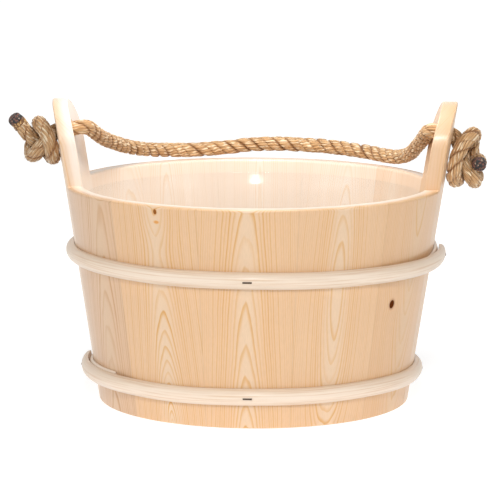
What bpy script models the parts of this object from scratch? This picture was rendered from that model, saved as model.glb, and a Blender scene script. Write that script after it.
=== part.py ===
"""Coopered sauna bucket: softwood staves, two lapped rod hoops, a clear liner and a rope handle.

Metres, +Z up. The origin is on the bucket's axis, at the plane that its foot stands on. The two ear
staves stand on the X axis, and -Y is the front.
"""

import math

import bmesh
import bpy
import numpy as np
from mathutils import Matrix, Vector

# Staves: a plain cone, wider at the rim, of equal staves.
RIM_RADIUS = 0.140
FOOT_RADIUS = 0.115
HEIGHT = 0.161
STAVE_COUNT = 12
STAVE_THICKNESS = 0.0115
RIM_ROUND = 0.0022
FOOT_CHAMFER = 0.0012

# Ears: two staves that rise above the rim under a half-round top, with a hole for the rope.
EAR_WIDTH = 0.065
EAR_RISE = 0.061
EAR_EDGE_ROUND = 0.0012
HOLE_BELOW_EAR_TOP = 0.022
HOLE_DIAMETER = 0.012

# Bottom: boards with a bevelled edge that sits in the croze, a groove round the staves.
BOTTOM_BOARD_COUNT = 3
BOTTOM_THICKNESS = 0.010
BOTTOM_ABOVE_FOOT = 0.013
CROZE_DEPTH = 0.0045
BOTTOM_EDGE_BEVEL = 0.002

# Hoops: half-round split rods, one turn each, whose thinned inner end lies under the outer end.
HOOP_WIDTH = 0.0125
HOOP_PROUD = 0.0068
HOOP_TIP_WIDTH = 0.0035
HOOP_TIP_PROUD = 0.0012
HOOP_LAPPED_PROUD = 0.0042
HOOP_OUTER_END_PROUD = 0.0056
HOOP_LAP_DEG = 44.0
HOOP_RISE_DEG = 14.0
UPPER_HOOP_HEIGHT = 0.1096
LOWER_HOOP_HEIGHT = 0.0230
LOWER_TIP_LIFT = 0.0062
UPPER_LAP_LIFT = 0.0030
UPPER_LAP_TIP_DEG = 50.0
LOWER_LAP_TIP_DEG = -54.0

# Staples: flat-topped wire staples that go through a hoop into the stave behind it.
STAPLE_CROWN = 0.0066
STAPLE_WIRE = 0.0011
STAPLE_DEPTH_IN_STAVE = 0.0055
STAPLE_ANGLES_DEG = {"front": 0.0, "right": 90.0, "back": 180.0, "left": -90.0}

# Liner: a clear cup that stands on the bottom, with a wider collar against the staves.
LINER_WALL = 0.0015
LINER_BELOW_RIM = 0.010
LINER_COLLAR_HEIGHT = 0.010
LINER_STEP = 0.0014
LINER_CORNER = 0.009

# Rope: one rope, from the tip outside the left ear to the tip outside the right ear.
ROPE_DIAMETER = 0.0105
ROPE_TIP_LENGTH = 0.0085
KNOT_STRAND_GAP = 0.0009

# Fits and steps.
FIT_GAP = 0.0003
STEPS_PER_STAVE = 6
HOOP_STEP_DEG = 4.8
HOOP_SECTION_STEPS = 8

TAPER = (RIM_RADIUS - FOOT_RADIUS) / HEIGHT
EAR_TOP = HEIGHT + EAR_RISE
HOLE_HEIGHT = EAR_TOP - HOLE_BELOW_EAR_TOP
BOTTOM_TOP = BOTTOM_ABOVE_FOOT + BOTTOM_THICKNESS
ROPE_RADIUS = ROPE_DIAMETER / 2
ROUND_STEPS = STAVE_COUNT * STEPS_PER_STAVE


def outer_radius(z):
    """Outside of the staves at height z."""
    return FOOT_RADIUS + TAPER * z


def inner_radius(z):
    """Inside of the staves at height z."""
    return outer_radius(z) - STAVE_THICKNESS


def smooth_step(x):
    """0 below 0, 1 above 1, and an S curve between."""
    x = min(max(x, 0.0), 1.0)
    return x * x * (3 - 2 * x)


def make_material(name, colour, roughness, alpha=1.0):
    material = bpy.data.materials.new(name)
    material.use_nodes = True
    shader = material.node_tree.nodes["Principled BSDF"]
    shader.inputs["Base Color"].default_value = (*colour, 1.0)
    shader.inputs["Roughness"].default_value = roughness
    shader.inputs["Metallic"].default_value = 0.0
    shader.inputs["Alpha"].default_value = alpha
    return material


def add_object(name, data, colour, roughness, alpha=1.0):
    obj = bpy.data.objects.new(name, data)
    data.materials.append(make_material(name, colour, roughness, alpha))
    bpy.context.scene.collection.objects.link(obj)
    return obj


def mesh_from(bm, name):
    bmesh.ops.recalc_face_normals(bm, faces=bm.faces)
    if bm.calc_volume(signed=True) < 0:
        bmesh.ops.reverse_faces(bm, faces=bm.faces)
    mesh = bpy.data.meshes.new(name)
    bm.to_mesh(mesh)
    bm.free()
    mesh.shade_smooth()
    mesh.set_sharp_from_angle(angle=math.radians(30))
    return mesh


def add_cutter(name, bm):
    obj = bpy.data.objects.new(name, mesh_from(bm, name))
    obj.hide_render = True
    obj.display_type = "WIRE"
    bpy.context.scene.collection.objects.link(obj)
    return obj


def cut(obj, cutter, operation="DIFFERENCE"):
    modifier = obj.modifiers.new(cutter.name, "BOOLEAN")
    modifier.operation = operation
    modifier.solver = "EXACT"
    modifier.object = cutter


def evaluated_bmesh(obj):
    """The object's mesh with its modifiers applied, which are then removed."""
    bm = bmesh.new()
    bm.from_object(obj, bpy.context.evaluated_depsgraph_get())
    obj.modifiers.clear()
    return bm


def arc(centre, radius, start_deg, end_deg, steps):
    """Points of a circular arc in a profile plane, both ends included."""
    angles = np.radians(np.linspace(start_deg, end_deg, steps + 1))
    return [(centre[0] + radius * math.cos(a), centre[1] + radius * math.sin(a)) for a in angles]


def spin_sector(profile, centre_deg, sweep_deg, steps):
    """A closed profile of (radius, height) points swept round Z into a solid sector."""
    start = math.radians(centre_deg - sweep_deg / 2)
    bm = bmesh.new()
    points = [(r * math.cos(start), r * math.sin(start), z) for r, z in profile]
    face = bm.faces.new([bm.verts.new(p) for p in points])
    far_end = face.copy()
    turn = Matrix.Rotation(math.radians(sweep_deg), 3, "Z")
    bmesh.ops.rotate(bm, verts=far_end.verts, cent=(0, 0, 0), matrix=turn)
    bmesh.ops.spin(
        bm, geom=face.edges[:], cent=(0, 0, 0), axis=(0, 0, 1), angle=math.radians(sweep_deg), steps=steps
    )
    bmesh.ops.remove_doubles(bm, verts=bm.verts, dist=1e-6)
    return bm


def revolve(profile, steps):
    """An open profile that starts and ends on the axis, turned right round Z."""
    bm = bmesh.new()
    verts = [bm.verts.new((r, 0, z)) for r, z in profile]
    edges = [bm.edges.new(pair) for pair in zip(verts, verts[1:])]
    bmesh.ops.spin(
        bm, geom=verts + edges, cent=(0, 0, 0), axis=(0, 0, 1), angle=math.tau, steps=steps, use_merge=True
    )
    bmesh.ops.remove_doubles(bm, verts=bm.verts, dist=1e-6)
    return bm


def extrude_outline(outline, direction):
    """A flat outline of 3-D points made into a prism along a direction."""
    bm = bmesh.new()
    face = bm.faces.new([bm.verts.new(p) for p in outline])
    grown = bmesh.ops.extrude_face_region(bm, geom=[face])["geom"]
    bmesh.ops.translate(bm, verts=[g for g in grown if isinstance(g, bmesh.types.BMVert)], vec=direction)
    return bm


def turned(bm, angle_deg):
    """Turns a shape built at the front (-Y) to its place: 90 degrees is the right (+X)."""
    bmesh.ops.rotate(bm, verts=bm.verts, cent=(0, 0, 0), matrix=Matrix.Rotation(math.radians(angle_deg), 3, "Z"))
    return bm


# Staves

CROZE_LOW = BOTTOM_ABOVE_FOOT - FIT_GAP
CROZE_HIGH = BOTTOM_TOP + FIT_GAP
CROZE_RADIUS = inner_radius((CROZE_LOW + CROZE_HIGH) / 2) + CROZE_DEPTH
STAVE_DEG = 360.0 / STAVE_COUNT
STAVE_SWEEP_DEG = STAVE_DEG - math.degrees(FIT_GAP / inner_radius(0))
WOOD = (0.76, 0.53, 0.32)


def stave_profile(top, rounded):
    """Foot, straight outer face, rim, and the inner face with its croze, from the foot up and round."""
    profile = [
        (inner_radius(0), 0),
        (FOOT_RADIUS - FOOT_CHAMFER, 0),
        (outer_radius(FOOT_CHAMFER), FOOT_CHAMFER),
    ]
    if rounded:
        shoulder = top - RIM_ROUND
        profile += arc((outer_radius(shoulder) - RIM_ROUND, shoulder), RIM_ROUND, 0, 90, 3)
        profile += arc((inner_radius(shoulder) + RIM_ROUND, shoulder), RIM_ROUND, 90, 180, 3)
    else:
        profile += [(outer_radius(top), top), (inner_radius(top), top)]
    bevel = BOTTOM_EDGE_BEVEL
    return profile + [
        (inner_radius(CROZE_HIGH), CROZE_HIGH),
        (CROZE_RADIUS, CROZE_HIGH - bevel),
        (CROZE_RADIUS, CROZE_LOW + bevel),
        (inner_radius(CROZE_LOW), CROZE_LOW),
    ]


def ear_outline_cutter(side):
    """A prism along X of the ear stave's outline: full width to the rim, then the half-round ear."""
    half = EAR_WIDTH / 2
    reach = RIM_RADIUS
    low = -HEIGHT
    head = arc((0, EAR_TOP - half), half, 0, 180, 20)
    flat = [(-reach, low), (reach, low), (reach, HEIGHT), (half, HEIGHT), *head, (-half, HEIGHT), (-reach, HEIGHT)]
    start = side * FOOT_RADIUS / 2
    return extrude_outline([(start, y, z) for y, z in flat], (side * RIM_RADIUS, 0, 0))


def rope_hole_cutter(side):
    bm = bmesh.new()
    reach = 2 * STAVE_THICKNESS + TAPER * HOLE_DIAMETER
    place = Matrix.Translation((side * (outer_radius(HOLE_HEIGHT) - STAVE_THICKNESS / 2), 0, HOLE_HEIGHT))
    bmesh.ops.create_cone(
        bm,
        cap_ends=True,
        segments=24,
        radius1=HOLE_DIAMETER / 2,
        radius2=HOLE_DIAMETER / 2,
        depth=reach,
        matrix=place @ Matrix.Rotation(math.pi / 2, 4, "Y"),
    )
    return bm


def round_ear_edges(bm):
    """Eases the sharp edges of the ear above the rim, and both mouths of its hole."""
    edges = []
    for edge in bm.edges:
        low = min(v.co.z for v in edge.verts)
        if low > HEIGHT + EAR_EDGE_ROUND and edge.is_manifold and edge.calc_face_angle() > math.radians(40):
            edges.append(edge)
    bmesh.ops.bevel(
        bm, geom=edges, offset=EAR_EDGE_ROUND, segments=2, affect="EDGES", profile=0.5, material=-1, clamp_overlap=True
    )


STAVE_NAMES = {
    0: "stave_front",
    1: "stave_front_right",
    2: "stave_right_front",
    3: "ear_stave_right",
    4: "stave_right_back",
    5: "stave_back_right",
    6: "stave_back",
    7: "stave_back_left",
    8: "stave_left_back",
    9: "ear_stave_left",
    10: "stave_left_front",
    11: "stave_front_left",
}


def build_ear_stave(name, side, centre_deg):
    bm = spin_sector(stave_profile(EAR_TOP, False), centre_deg, STAVE_SWEEP_DEG, STEPS_PER_STAVE)
    ear = add_object(name, mesh_from(bm, name), WOOD, 0.35)
    cut(ear, add_cutter(name + "_outline", ear_outline_cutter(side)), "INTERSECT")
    cut(ear, add_cutter(name + "_hole", rope_hole_cutter(side)))
    return ear


def finish_ear(ear):
    """Makes the cuts in an ear stave final, then eases its edges."""
    shaped = evaluated_bmesh(ear)
    round_ear_edges(shaped)
    material = ear.data.materials[0]
    ear.data = mesh_from(shaped, ear.name + "_shaped")
    ear.data.materials.clear()
    ear.data.materials.append(material)


def build_staves():
    staves = {}
    for index in range(STAVE_COUNT):
        name = STAVE_NAMES.get(index, f"stave_{index}")
        centre = -90.0 + index * STAVE_DEG
        if name.startswith("ear_stave"):
            side = 1 if name.endswith("right") else -1
            staves[index] = build_ear_stave(name, side, centre)
        else:
            bm = spin_sector(stave_profile(HEIGHT, True), centre, STAVE_SWEEP_DEG, STEPS_PER_STAVE)
            staves[index] = add_object(name, mesh_from(bm, name), WOOD, 0.35)
    return staves


# Bottom boards

def build_bottom():
    """A round bottom with a bevelled edge in the croze, sawn into boards that run from ear to ear."""
    edge = CROZE_RADIUS - FIT_GAP
    low = BOTTOM_ABOVE_FOOT
    high = BOTTOM_TOP
    bevel = BOTTOM_EDGE_BEVEL
    shoulder_low = inner_radius(low) - FIT_GAP
    shoulder_high = inner_radius(high) - FIT_GAP
    profile = [
        (0, high),
        (shoulder_high, high),
        (edge, high - bevel),
        (edge, low + bevel),
        (shoulder_low, low),
        (0, low),
    ]
    width = 2 * edge / BOTTOM_BOARD_COUNT
    for index in range(BOTTOM_BOARD_COUNT):
        bm = revolve(profile, ROUND_STEPS)
        front = -edge + index * width
        saw_cut(bm, front + FIT_GAP / 2, -1)
        saw_cut(bm, front + width - FIT_GAP / 2, 1)
        name = f"bottom_board_{index + 1}"
        add_object(name, mesh_from(bm, name), WOOD, 0.55)


def saw_cut(bm, y, side):
    """Cuts the shape along the plane at y, drops what lies past it on that side, and closes the cut."""
    geom = bm.verts[:] + bm.edges[:] + bm.faces[:]
    found = bmesh.ops.bisect_plane(
        bm, geom=geom, dist=1e-7, plane_co=(0, y, 0), plane_no=(0, side, 0), clear_outer=True
    )
    rim = [g for g in found["geom_cut"] if isinstance(g, bmesh.types.BMEdge)]
    if rim:
        bmesh.ops.edgeloop_fill(bm, edges=rim)


# Hoops

class Hoop:
    """One rod wrapped round the staves. The way along it is counted in degrees from its thin inner tip."""

    def __init__(self, name, height, tip_deg, direction, tip_lift, lap_lift, lean):
        self.name = name
        self.height = height
        self.tip_deg = tip_deg
        self.direction = direction
        self.tip_lift = tip_lift
        self.lap_lift = lap_lift
        self.lean = lean
        self.turn = 360.0
        self.end = self.turn + HOOP_LAP_DEG

    def angle(self, along):
        """Place round the bucket: 0 is the front and 90 the right."""
        return self.tip_deg + self.direction * along

    def along(self, angle_deg):
        """The outermost way along the rod at a place round the bucket."""
        along = (self.direction * (angle_deg - self.tip_deg)) % self.turn
        return along + self.turn if along + self.turn <= self.end else along

    def proud(self, along):
        """Thickness of the rod: thin at the tip, part thickness under the lap, full, then a little less."""
        under = HOOP_TIP_PROUD + (HOOP_LAPPED_PROUD - HOOP_TIP_PROUD) * min(along / HOOP_LAP_DEG, 1.0)
        full = smooth_step((along - HOOP_LAP_DEG) / HOOP_RISE_DEG)
        thick = under + (HOOP_PROUD - HOOP_LAPPED_PROUD) * full
        over = smooth_step((along - self.turn) / HOOP_LAP_DEG)
        return thick - (HOOP_PROUD - HOOP_OUTER_END_PROUD) * over

    def offset(self, along):
        """Gap from the staves to the back of the rod: its outer end rides on the inner end."""
        rise = smooth_step((along - self.turn + HOOP_RISE_DEG) / HOOP_RISE_DEG)
        below = self.proud(max(along - self.turn, 0.0))
        return FIT_GAP + rise * (below + FIT_GAP)

    def width(self, along):
        return HOOP_TIP_WIDTH + (HOOP_WIDTH - HOOP_TIP_WIDTH) * smooth_step(along / HOOP_LAP_DEG)

    def centre(self, along):
        """Height of the rod's middle. The tip or the rod behind the lap is lifted, and the hoop leans a little."""
        around = math.radians(self.angle(along))
        lift = self.tip_lift * (1 - smooth_step(along / HOOP_LAP_DEG))
        behind = smooth_step((along - HOOP_LAP_DEG / 2) / HOOP_LAP_DEG)
        lift += self.lap_lift * behind * (1 - smooth_step((along - 1.5 * HOOP_LAP_DEG) / (1.5 * HOOP_LAP_DEG)))
        return self.height + lift + self.lean[0] * math.sin(around) + self.lean[1] * math.cos(around)

    def section(self, along):
        """The half-round section's points: a flat back on the staves, and a round face."""
        around = math.radians(self.angle(along) - 90)
        half = self.width(along) / 2
        points = []
        for step in range(HOOP_SECTION_STEPS + 1):
            phase = -math.pi / 2 + math.pi * step / HOOP_SECTION_STEPS
            z = self.centre(along) + half * math.sin(phase)
            r = outer_radius(z) + self.offset(along) + self.proud(along) * math.cos(phase)
            points.append(Vector((r * math.cos(around), r * math.sin(around), z)))
        return points

    def face_radius(self, angle_deg):
        """Radius of the outermost face at a place round the bucket."""
        along = self.along(angle_deg)
        return outer_radius(self.centre(along)) + self.offset(along) + self.proud(along)

    def build(self):
        """The section carried along the rod, ring after ring, and closed at both ends."""
        bm = bmesh.new()
        steps = round(self.end / HOOP_STEP_DEG)
        rings = []
        for step in range(steps + 1):
            section = self.section(self.end * step / steps)
            rings.append([bm.verts.new(p) for p in section])
        for near, far in zip(rings, rings[1:]):
            for corner in range(len(near)):
                after = (corner + 1) % len(near)
                bm.faces.new((near[corner], near[after], far[after], far[corner]))
        bm.faces.new(rings[0])
        bm.faces.new(rings[-1])
        return add_object(self.name, mesh_from(bm, self.name), (0.83, 0.67, 0.47), 0.5)


UPPER_HOOP = Hoop("upper_hoop", UPPER_HOOP_HEIGHT, UPPER_LAP_TIP_DEG, 1, 0.0, UPPER_LAP_LIFT, (-0.0012, 0.0))
LOWER_HOOP = Hoop("lower_hoop", LOWER_HOOP_HEIGHT, LOWER_LAP_TIP_DEG, -1, LOWER_TIP_LIFT, 0.0, (0.0, 0.0008))


# Staples

def staple_outline(hoop, angle_deg, gap):
    """The staple seen from above, at the front: a crown on the hoop and two legs into the stave."""
    centre = hoop.centre(hoop.along(angle_deg))
    face = -hoop.face_radius(angle_deg) - FIT_GAP - gap
    under = face + STAPLE_WIRE + 2 * gap
    tip = -outer_radius(centre) + STAPLE_DEPTH_IN_STAVE + gap
    outside = STAPLE_CROWN / 2 + gap
    inside = STAPLE_CROWN / 2 - STAPLE_WIRE - gap
    flat = [
        (-outside, face),
        (outside, face),
        (outside, tip),
        (inside, tip),
        (inside, under),
        (-inside, under),
        (-inside, tip),
        (-outside, tip),
    ]
    low = centre - STAPLE_WIRE / 2 - gap
    return [(x, y, low) for x, y in flat], (0, 0, STAPLE_WIRE + 2 * gap)


def build_hoops_and_staples(staves):
    for hoop in (UPPER_HOOP, LOWER_HOOP):
        rod = hoop.build()
        for place, angle in STAPLE_ANGLES_DEG.items():
            name = f"{hoop.name}_staple_{place}"
            staple = turned(extrude_outline(*staple_outline(hoop, angle, 0.0)), angle)
            add_object(name, mesh_from(staple, name), (0.10, 0.09, 0.08), 0.45)
            slot = turned(extrude_outline(*staple_outline(hoop, angle, FIT_GAP)), angle)
            cutter = add_cutter(name + "_slot", slot)
            stave = staves[round(angle / STAVE_DEG) % STAVE_COUNT]
            cut(rod, cutter)
            cut(stave, cutter)


# Liner

LINER_TOP = HEIGHT - LINER_BELOW_RIM


def build_liner():
    """A thin cup with a rounded foot and a stepped collar, as one turned wall."""
    wall = LINER_WALL
    floor = BOTTOM_TOP + FIT_GAP
    collar = LINER_TOP - LINER_COLLAR_HEIGHT
    slope = math.degrees(math.atan(TAPER))

    def cup_radius(z):
        return inner_radius(z) - FIT_GAP - LINER_STEP

    def foot_arc(radius):
        """The rounded foot: from the flat floor up to the sloping wall."""
        middle_z = floor + LINER_CORNER
        middle_r = cup_radius(middle_z) - LINER_CORNER
        return arc((middle_r, middle_z), radius, -90, -slope, 5)

    outside = [(0, floor), *foot_arc(LINER_CORNER), (cup_radius(collar), collar)]
    lip = wall / 2
    collar_low = collar + LINER_STEP
    collar_outer = inner_radius(LINER_TOP - lip) - FIT_GAP
    outside += [(inner_radius(collar_low) - FIT_GAP, collar_low)]
    outside += arc((collar_outer - lip, LINER_TOP - lip), lip, 0, 180, 3)
    inside = [
        (inner_radius(collar_low) - FIT_GAP - wall, collar_low + wall / 2),
        (cup_radius(collar) - wall, collar + wall / 2),
        *reversed(foot_arc(LINER_CORNER - wall)),
        (0, floor + wall),
    ]
    bm = revolve(outside + inside, ROUND_STEPS)
    add_object("liner", mesh_from(bm, "liner"), (0.92, 0.94, 0.95), 0.12, 0.35)


# Rope

ROPE_COLOUR = (0.42, 0.26, 0.12)
ROPE_TIP_COLOUR = (0.06, 0.05, 0.045)
HOLE_MIDDLE = outer_radius(HOLE_HEIGHT) - STAVE_THICKNESS / 2

# The free rope between the ears, which lies back on the rim, as (x, y, height above the hole).
SPAN_ROUTE = [
    (-0.1344, 0.0000, 0.0000),
    (-0.1294, 0.0008, 0.0006),
    (-0.1252, 0.0045, 0.0004),
    (-0.1220, 0.0120, -0.0022),
    (-0.1194, 0.0230, -0.0066),
    (-0.1155, 0.0380, -0.0120),
    (-0.1083, 0.0613, -0.0185),
    (-0.0988, 0.0866, -0.0250),
    (-0.0850, 0.1092, -0.0297),
    (-0.0665, 0.1250, -0.0321),
    (-0.0475, 0.1336, -0.0326),
    (-0.0280, 0.1392, -0.0315),
    (-0.0087, 0.1428, -0.0296),
    (0.0148, 0.1436, -0.0287),
    (0.0345, 0.1413, -0.0292),
    (0.0542, 0.1350, -0.0297),
    (0.0698, 0.1265, -0.0305),
    (0.0854, 0.1140, -0.0313),
    (0.0972, 0.1004, -0.0317),
    (0.1068, 0.0860, -0.0306),
    (0.1152, 0.0660, -0.0254),
    (0.1209, 0.0442, -0.0163),
    (0.1246, 0.0262, -0.0090),
    (0.1268, 0.0125, -0.0036),
    (0.1290, 0.0040, -0.0004),
    (0.1315, 0.0007, 0.0004),
    (0.1348, 0.0000, 0.0000),
]


def smooth_path(points, count):
    """A smooth curve through the points (centripetal Catmull-Rom), read at even steps along it."""
    points = np.array(points, dtype=float)
    points = np.vstack([2 * points[0] - points[1], points, 2 * points[-1] - points[-2]])
    knots = np.concatenate([[0], np.cumsum(np.sqrt(np.linalg.norm(np.diff(points, axis=0), axis=1)))])
    curve = []
    for i in range(1, len(points) - 2):
        k0, k1, k2, k3 = knots[i - 1 : i + 3]
        for t in np.linspace(k1, k2, 24, endpoint=False):
            a1 = ((k1 - t) * points[i - 1] + (t - k0) * points[i]) / (k1 - k0)
            a2 = ((k2 - t) * points[i] + (t - k1) * points[i + 1]) / (k2 - k1)
            a3 = ((k3 - t) * points[i + 1] + (t - k2) * points[i + 2]) / (k3 - k2)
            b1 = ((k2 - t) * a1 + (t - k0) * a2) / (k2 - k0)
            b2 = ((k3 - t) * a2 + (t - k1) * a3) / (k3 - k1)
            curve.append(((k2 - t) * b1 + (t - k1) * b2) / (k2 - k1))
    curve.append(points[-2])
    return even_steps(np.array(curve), count)


def even_steps(curve, count):
    """The same line with its points spread evenly along it."""
    along = np.concatenate([[0], np.cumsum(np.linalg.norm(np.diff(curve, axis=0), axis=1))])
    wanted = np.linspace(0, along[-1], count)
    return np.stack([np.interp(wanted, along, curve[:, axis]) for axis in range(3)], axis=1)


def rope_tube(name, path, radii=None, colour=ROPE_COLOUR):
    data = bpy.data.curves.new(name, "CURVE")
    data.dimensions = "3D"
    data.bevel_depth = ROPE_RADIUS
    data.bevel_resolution = 2
    data.use_fill_caps = True
    data.twist_mode = "MINIMUM"
    spline = data.splines.new("POLY")
    spline.points.add(len(path) - 1)
    for index, place in enumerate(path):
        spline.points[index].co = (*place, 1.0)
        if radii is not None:
            spline.points[index].radius = radii[index]
    return add_object(name, data, colour, 0.85)


def draw_together(guide, side, held):
    """Draws a loosely laid knot together: the line is smoothed, its strands keep a rope's width apart,
    and all but its first held points stay outside the ear's outer face."""
    path = smooth_path(guide, KNOT_POINTS)
    apart = ROPE_DIAMETER + KNOT_STRAND_GAP
    number = np.arange(KNOT_POINTS)
    for turn in range(KNOT_ROUNDS):
        ease = 0.10 * (1 - turn / KNOT_ROUNDS)
        length = np.linalg.norm(np.diff(path, axis=0), axis=1).sum()
        own_stretch = math.ceil(1.9 * apart / (length / (KNOT_POINTS - 1)))
        between = path[:, None] - path[None]
        distance = np.linalg.norm(between, axis=2) + 1e-9
        strangers = np.abs(number[:, None] - number[None]) > own_stretch
        short = np.where(strangers, np.maximum(apart - distance, 0), 0)
        path = path + 0.12 * (between / distance[..., None] * short[..., None]).sum(axis=1)
        path[1:-1] += ease * (path[:-2] + path[2:] - 2 * path[1:-1])
        radius = np.hypot(path[:, 0], path[:, 1])
        clear = (radius - outer_radius(HOLE_HEIGHT + path[:, 2])) / math.hypot(1, TAPER)
        sunk = np.maximum(ROPE_RADIUS + FIT_GAP - clear, 0)
        sunk[:held] = 0
        path[:, 0] += side * sunk
        path[:held] = smooth_path(guide, KNOT_POINTS)[:held]
        path[-1] = guide[-1]
        path[held:] = even_steps(path, KNOT_POINTS)[held:]
    return path


KNOT_POINTS = 70
KNOT_ROUNDS = 200


def least_gap(path):
    """The least clear space between two strands of one rope, past the bend of the strand itself."""
    step = np.linalg.norm(np.diff(path, axis=0), axis=1).mean()
    own_stretch = math.ceil(1.9 * ROPE_DIAMETER / step)
    number = np.arange(len(path))
    distance = np.linalg.norm(path[:, None] - path[None], axis=2)
    distance[np.abs(number[:, None] - number[None]) <= own_stretch] = 1.0
    return distance.min() - ROPE_DIAMETER


def build_rope_end(side, word, guide):
    """The rope from the middle of the ear's hole, through its knot, to the dark sealed tip."""
    straight = [HOLE_MIDDLE + FIT_GAP / 2, HOLE_MIDDLE + STAVE_THICKNESS / 4, HOLE_MIDDLE + STAVE_THICKNESS / 2]
    start = [(side * out, 0, 0) for out in straight]
    laid = [(side * out, y, up) for out, y, up in guide]
    path = draw_together(start + laid, side, 5)
    path[:, 2] += HOLE_HEIGHT
    print(f"rope_knot_{word}: least gap between strands {least_gap(path) * 1000:.2f} mm")
    rope_tube(f"rope_knot_{word}", path)
    heading = path[-1] - path[-4]
    heading /= np.linalg.norm(heading)
    tip_start = path[-1] + heading * FIT_GAP
    tip = [tip_start + heading * ROPE_TIP_LENGTH * share for share in (0.0, 0.6, 0.88, 1.0)]
    rope_tube(f"rope_tip_{word}", tip, (1.0, 1.0, 0.86, 0.55), ROPE_TIP_COLOUR)


# Each knot as it is laid, from the ear's face to the tail, as (out from the axis, y, height above the hole).
# The standing part goes down behind the loop to a low bight, up at the back, over the top and down in front
# as the loop, then behind the standing part and out through the bight.
LEFT_KNOT = [
    (0.1500, 0.0012, -0.0030),
    (0.1535, -0.0015, -0.0095),
    (0.1575, -0.0065, -0.0145),
    (0.1610, -0.0090, -0.0180),
    (0.1632, -0.0040, -0.0215),
    (0.1635, 0.0040, -0.0205),
    (0.1625, 0.0100, -0.0145),
    (0.1600, 0.0115, -0.0065),
    (0.1570, 0.0070, -0.0005),
    (0.1535, -0.0020, 0.0015),
    (0.1515, -0.0105, -0.0050),
    (0.1500, -0.0125, -0.0140),
    (0.1490, -0.0100, -0.0225),
    (0.1480, -0.0030, -0.0285),
    (0.1485, 0.0045, -0.0275),
    (0.1520, 0.0060, -0.0210),
    (0.1570, 0.0035, -0.0145),
    (0.1620, 0.0005, -0.0095),
    (0.1670, -0.0015, -0.0045),
    (0.1708, -0.0025, -0.0005),
    (0.1736, -0.0030, 0.0030),
]
RIGHT_KNOT = [
    (0.1498, 0.0012, -0.0040),
    (0.1530, -0.0020, -0.0130),
    (0.1565, -0.0070, -0.0275),
    (0.1605, -0.0090, -0.0425),
    (0.1635, -0.0040, -0.0515),
    (0.1640, 0.0040, -0.0490),
    (0.1620, 0.0100, -0.0340),
    (0.1580, 0.0115, -0.0160),
    (0.1545, 0.0070, -0.0040),
    (0.1525, -0.0020, -0.0005),
    (0.1512, -0.0110, -0.0070),
    (0.1488, -0.0130, -0.0180),
    (0.1478, -0.0125, -0.0330),
    (0.1500, -0.0060, -0.0490),
    (0.1535, 0.0035, -0.0490),
    (0.1540, 0.0065, -0.0360),
    (0.1555, 0.0045, -0.0230),
    (0.1592, -0.0005, -0.0165),
    (0.1635, -0.0075, -0.0175),
    (0.1650, -0.0150, -0.0210),
]


def build_rope():
    """The span turns about the line through the ear holes, so it hangs from an empty on that line."""
    end = HOLE_MIDDLE - FIT_GAP / 2
    inside = HOLE_MIDDLE - STAVE_THICKNESS / 4
    route = [(-end, 0, 0), (-inside, 0, 0), *SPAN_ROUTE, (inside, 0, 0), (end, 0, 0)]
    span = rope_tube("rope_span", smooth_path(route, 78))
    axis = bpy.data.objects.new("handle_axis", None)
    axis.location = (0, 0, HOLE_HEIGHT)
    bpy.context.scene.collection.objects.link(axis)
    span.parent = axis
    build_rope_end(-1, "left", LEFT_KNOT)
    build_rope_end(1, "right", RIGHT_KNOT)


def clear_scene():
    for obj in list(bpy.data.objects):
        bpy.data.objects.remove(obj)


clear_scene()
all_staves = build_staves()
build_bottom()
build_hoops_and_staples(all_staves)
for stave in all_staves.values():
    if stave.name.startswith("ear_stave"):
        finish_ear(stave)
build_liner()
build_rope()
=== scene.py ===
import math
from functools import partial

import bmesh
import bpy
import numpy as np
from mathutils import Matrix, Vector


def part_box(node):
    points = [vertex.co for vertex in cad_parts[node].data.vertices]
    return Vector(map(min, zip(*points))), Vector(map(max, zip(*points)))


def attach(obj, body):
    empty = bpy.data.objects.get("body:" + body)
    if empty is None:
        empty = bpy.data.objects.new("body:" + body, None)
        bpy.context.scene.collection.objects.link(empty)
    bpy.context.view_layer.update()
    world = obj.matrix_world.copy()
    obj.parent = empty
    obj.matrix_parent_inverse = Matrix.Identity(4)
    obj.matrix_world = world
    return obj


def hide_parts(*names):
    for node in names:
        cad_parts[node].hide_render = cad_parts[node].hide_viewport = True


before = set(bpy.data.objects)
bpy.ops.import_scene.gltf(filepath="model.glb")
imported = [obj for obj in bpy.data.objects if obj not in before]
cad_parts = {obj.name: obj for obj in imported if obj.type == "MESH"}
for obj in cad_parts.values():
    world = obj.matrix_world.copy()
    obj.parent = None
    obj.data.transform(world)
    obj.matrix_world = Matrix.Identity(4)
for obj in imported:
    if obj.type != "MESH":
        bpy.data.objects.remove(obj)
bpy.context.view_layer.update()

scene = bpy.context.scene
scene.view_settings.view_transform = "Standard"


# Staves. Twelve pale pine staves are planed to a taper, glued edge to edge, turned as one tub and lacquered.
# Two of them stand above the rim as ears with round heads, each bored for the rope.
RIM_RADIUS = 0.140
FOOT_RADIUS = 0.115
HEIGHT = 0.161
STAVE_THICKNESS = 0.0115
STAVE_DEG = 30.0
GLUE_LINE = 0.00004
RIM_ROUND = 0.0022
FOOT_ROUND = 0.0012
BOTTOM_TOP = 0.023
EAR_WIDTH = 0.065
EAR_TOP = 0.222
EAR_ROUND = 0.0012
HOLE_HEIGHT = 0.200
HOLE_DIAMETER = 0.012
TAPER = (RIM_RADIUS - FOOT_RADIUS) / HEIGHT
EASED_DEG = 40.0  # an ear's edges that turn by more than this are eased
TOUCHING = 1e-6  # points nearer than this are one


def outer_radius(z):
    return FOOT_RADIUS + TAPER * z


def inner_radius(z):
    return outer_radius(z) - STAVE_THICKNESS


def arc(centre, radius, start_deg, end_deg, steps):
    """Points along an arc, as pairs."""
    angles = np.radians(np.linspace(start_deg, end_deg, steps + 1))
    return [(centre[0] + radius * math.cos(a), centre[1] + radius * math.sin(a)) for a in angles]


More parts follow.
